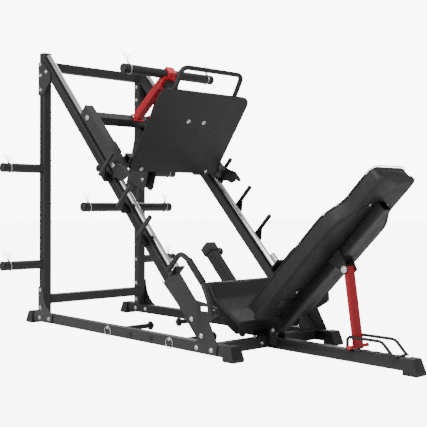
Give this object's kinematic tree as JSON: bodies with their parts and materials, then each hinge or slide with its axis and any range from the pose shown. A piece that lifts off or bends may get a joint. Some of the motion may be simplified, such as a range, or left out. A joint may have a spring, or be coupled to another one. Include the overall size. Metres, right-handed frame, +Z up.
{
  "type": "leg press machine",
  "caption": "Sloped plate-loaded leg press with a sled on guide rods, foot plate, safety hooks, low seat and reclining back rest.",
  "frame": {"origin": "on the floor, at the middle of the overall length and width", "axes": "+Y from the seat towards the uprights, +Z up, +X to the right of a person in the seat"},
  "size_m": [1.208, 2.405, 1.521],
  "materials": {
    "frame_black": "satin powder coat",
    "arm_red": "satin powder coat",
    "chrome_rod": "polished",
    "stop_steel": "zinc plated",
    "plastic": "moulded",
    "knob": "moulded",
    "vinyl": "smooth upholstery vinyl"
  },
  "bodies": {
    "frame": {"base_tube_left": "frame_black", "base_tube_right": "frame_black", "front_cross_tube": "frame_black", "centre_beam": "frame_black", "foot_rear_left": "plastic", "foot_rear_right": "plastic", "foot_front_left": "plastic", "foot_front_right": "plastic", "foot_seat": "plastic", "upright_left": "frame_black", "upright_right": "frame_black", "top_cross_beam": "frame_black", "lower_cross_beam": "frame_black", "storage_horn_upper_left": "frame_black", "storage_horn_upper_right": "frame_black", "storage_horn_lower_left": "frame_black", "storage_horn_lower_right": "frame_black", "rail_left": "frame_black", "rail_right": "frame_black", "guide_rod_left": "chrome_rod", "guide_rod_right": "chrome_rod", "rail_gusset_left": "frame_black", "rail_gusset_right": "frame_black", "side_handle_left": "frame_black", "side_handle_right": "frame_black", "bumper_left": "stop_steel", "bumper_right": "stop_steel", "centre_post": "frame_black", "seat_frame": "frame_black", "seat_pad": "vinyl", "strut_rack": "frame_black"},
    "pull_pin": {"pull_pin": "knob"},
    "carriage": {"carriage_side_left": "frame_black", "carriage_side_right": "frame_black", "carriage_crossbeam": "frame_black", "foot_plate": "frame_black", "plate_handle": "frame_black", "plate_bracket_left": "frame_black", "plate_bracket_right": "frame_black", "plate_support_left": "frame_black", "plate_support_right": "frame_black", "horn_arm_upper": "arm_red", "horn_arm_lower": "frame_black", "plate_brace": "frame_black", "loading_horn_upper_left": "frame_black", "loading_horn_upper_right": "frame_black", "loading_horn_lower_left": "frame_black", "loading_horn_lower_right": "frame_black"},
    "back_rest": {"back_frame": "frame_black", "back_pad": "vinyl"},
    "strut": {"back_strut": "arm_red"},
    "roller_lower_left": {"roller_lower_left": "plastic"},
    "roller_upper_left": {"roller_upper_left": "plastic"},
    "keeper_roller_left": {"keeper_roller_left": "plastic"},
    "safety_hook_left": {"safety_hook_left": "frame_black"},
    "roller_lower_right": {"roller_lower_right": "plastic"},
    "roller_upper_right": {"roller_upper_right": "plastic"},
    "keeper_roller_right": {"keeper_roller_right": "plastic"},
    "safety_hook_right": {"safety_hook_right": "frame_black"}
  },
  "joints": [
    {"name": "carriage_slide", "type": "slide", "parent": "frame", "child": "carriage", "axis": [0, 0.6947, 0.7193], "range_m": [-0.58, 0.38]},
    {"name": "roller_lower_left_spin", "type": "hinge", "parent": "carriage", "child": "roller_lower_left", "pos_m": [-0.332, 0.33859, 0.86669], "axis": [1, 0, 0], "continuous": true},
    {"name": "roller_upper_left_spin", "type": "hinge", "parent": "carriage", "child": "roller_upper_left", "pos_m": [-0.332, 0.58867, 1.12566], "axis": [1, 0, 0], "continuous": true},
    {"name": "keeper_roller_left_spin", "type": "hinge", "parent": "carriage", "child": "keeper_roller_left", "pos_m": [-0.332, 0.50035, 0.85785], "axis": [1, 0, 0], "continuous": true},
    {"name": "safety_hook_left_turn", "type": "hinge", "parent": "carriage", "child": "safety_hook_left", "pos_m": [-0.3675, 0.33859, 0.86669], "axis": [-1, 0, 0], "range_deg": [0, 40]},
    {"name": "roller_lower_right_spin", "type": "hinge", "parent": "carriage", "child": "roller_lower_right", "pos_m": [0.332, 0.33859, 0.86669], "axis": [1, 0, 0], "continuous": true},
    {"name": "roller_upper_right_spin", "type": "hinge", "parent": "carriage", "child": "roller_upper_right", "pos_m": [0.332, 0.58867, 1.12566], "axis": [1, 0, 0], "continuous": true},
    {"name": "keeper_roller_right_spin", "type": "hinge", "parent": "carriage", "child": "keeper_roller_right", "pos_m": [0.332, 0.50035, 0.85785], "axis": [1, 0, 0], "continuous": true},
    {"name": "safety_hook_right_turn", "type": "hinge", "parent": "carriage", "child": "safety_hook_right", "pos_m": [0.3675, 0.33859, 0.86669], "axis": [-1, 0, 0], "range_deg": [0, 40]},
    {"name": "back_recline", "type": "hinge", "parent": "frame", "child": "back_rest", "pos_m": [0, -0.4355, 0.099], "axis": [1, 0, 0], "range_deg": [0, 5.5]},
    {"name": "strut_swing", "type": "hinge", "parent": "back_rest", "child": "strut", "pos_m": [0, -0.8475, 0.398], "axis": [1, 0, 0], "range_deg": [-31, 0]},
    {"name": "pull_pin_slide", "type": "slide", "parent": "frame", "child": "pull_pin", "axis": [1, 0, 0], "range_m": [0, 0.01], "stiffness_N_per_m": 600, "springref_m": -0.004}
  ],
  "couplings": [
    {"joint": "roller_lower_left_spin", "follows": "carriage_slide", "rad_per_m": -38.462},
    {"joint": "roller_upper_left_spin", "follows": "carriage_slide", "rad_per_m": -38.462},
    {"joint": "keeper_roller_left_spin", "follows": "carriage_slide", "rad_per_m": 55.556},
    {"joint": "roller_lower_right_spin", "follows": "carriage_slide", "rad_per_m": -38.462},
    {"joint": "roller_upper_right_spin", "follows": "carriage_slide", "rad_per_m": -38.462},
    {"joint": "keeper_roller_right_spin", "follows": "carriage_slide", "rad_per_m": 55.556},
    {"joint": "strut_swing", "follows": "back_recline", "ratio": -5.5}
  ]
}
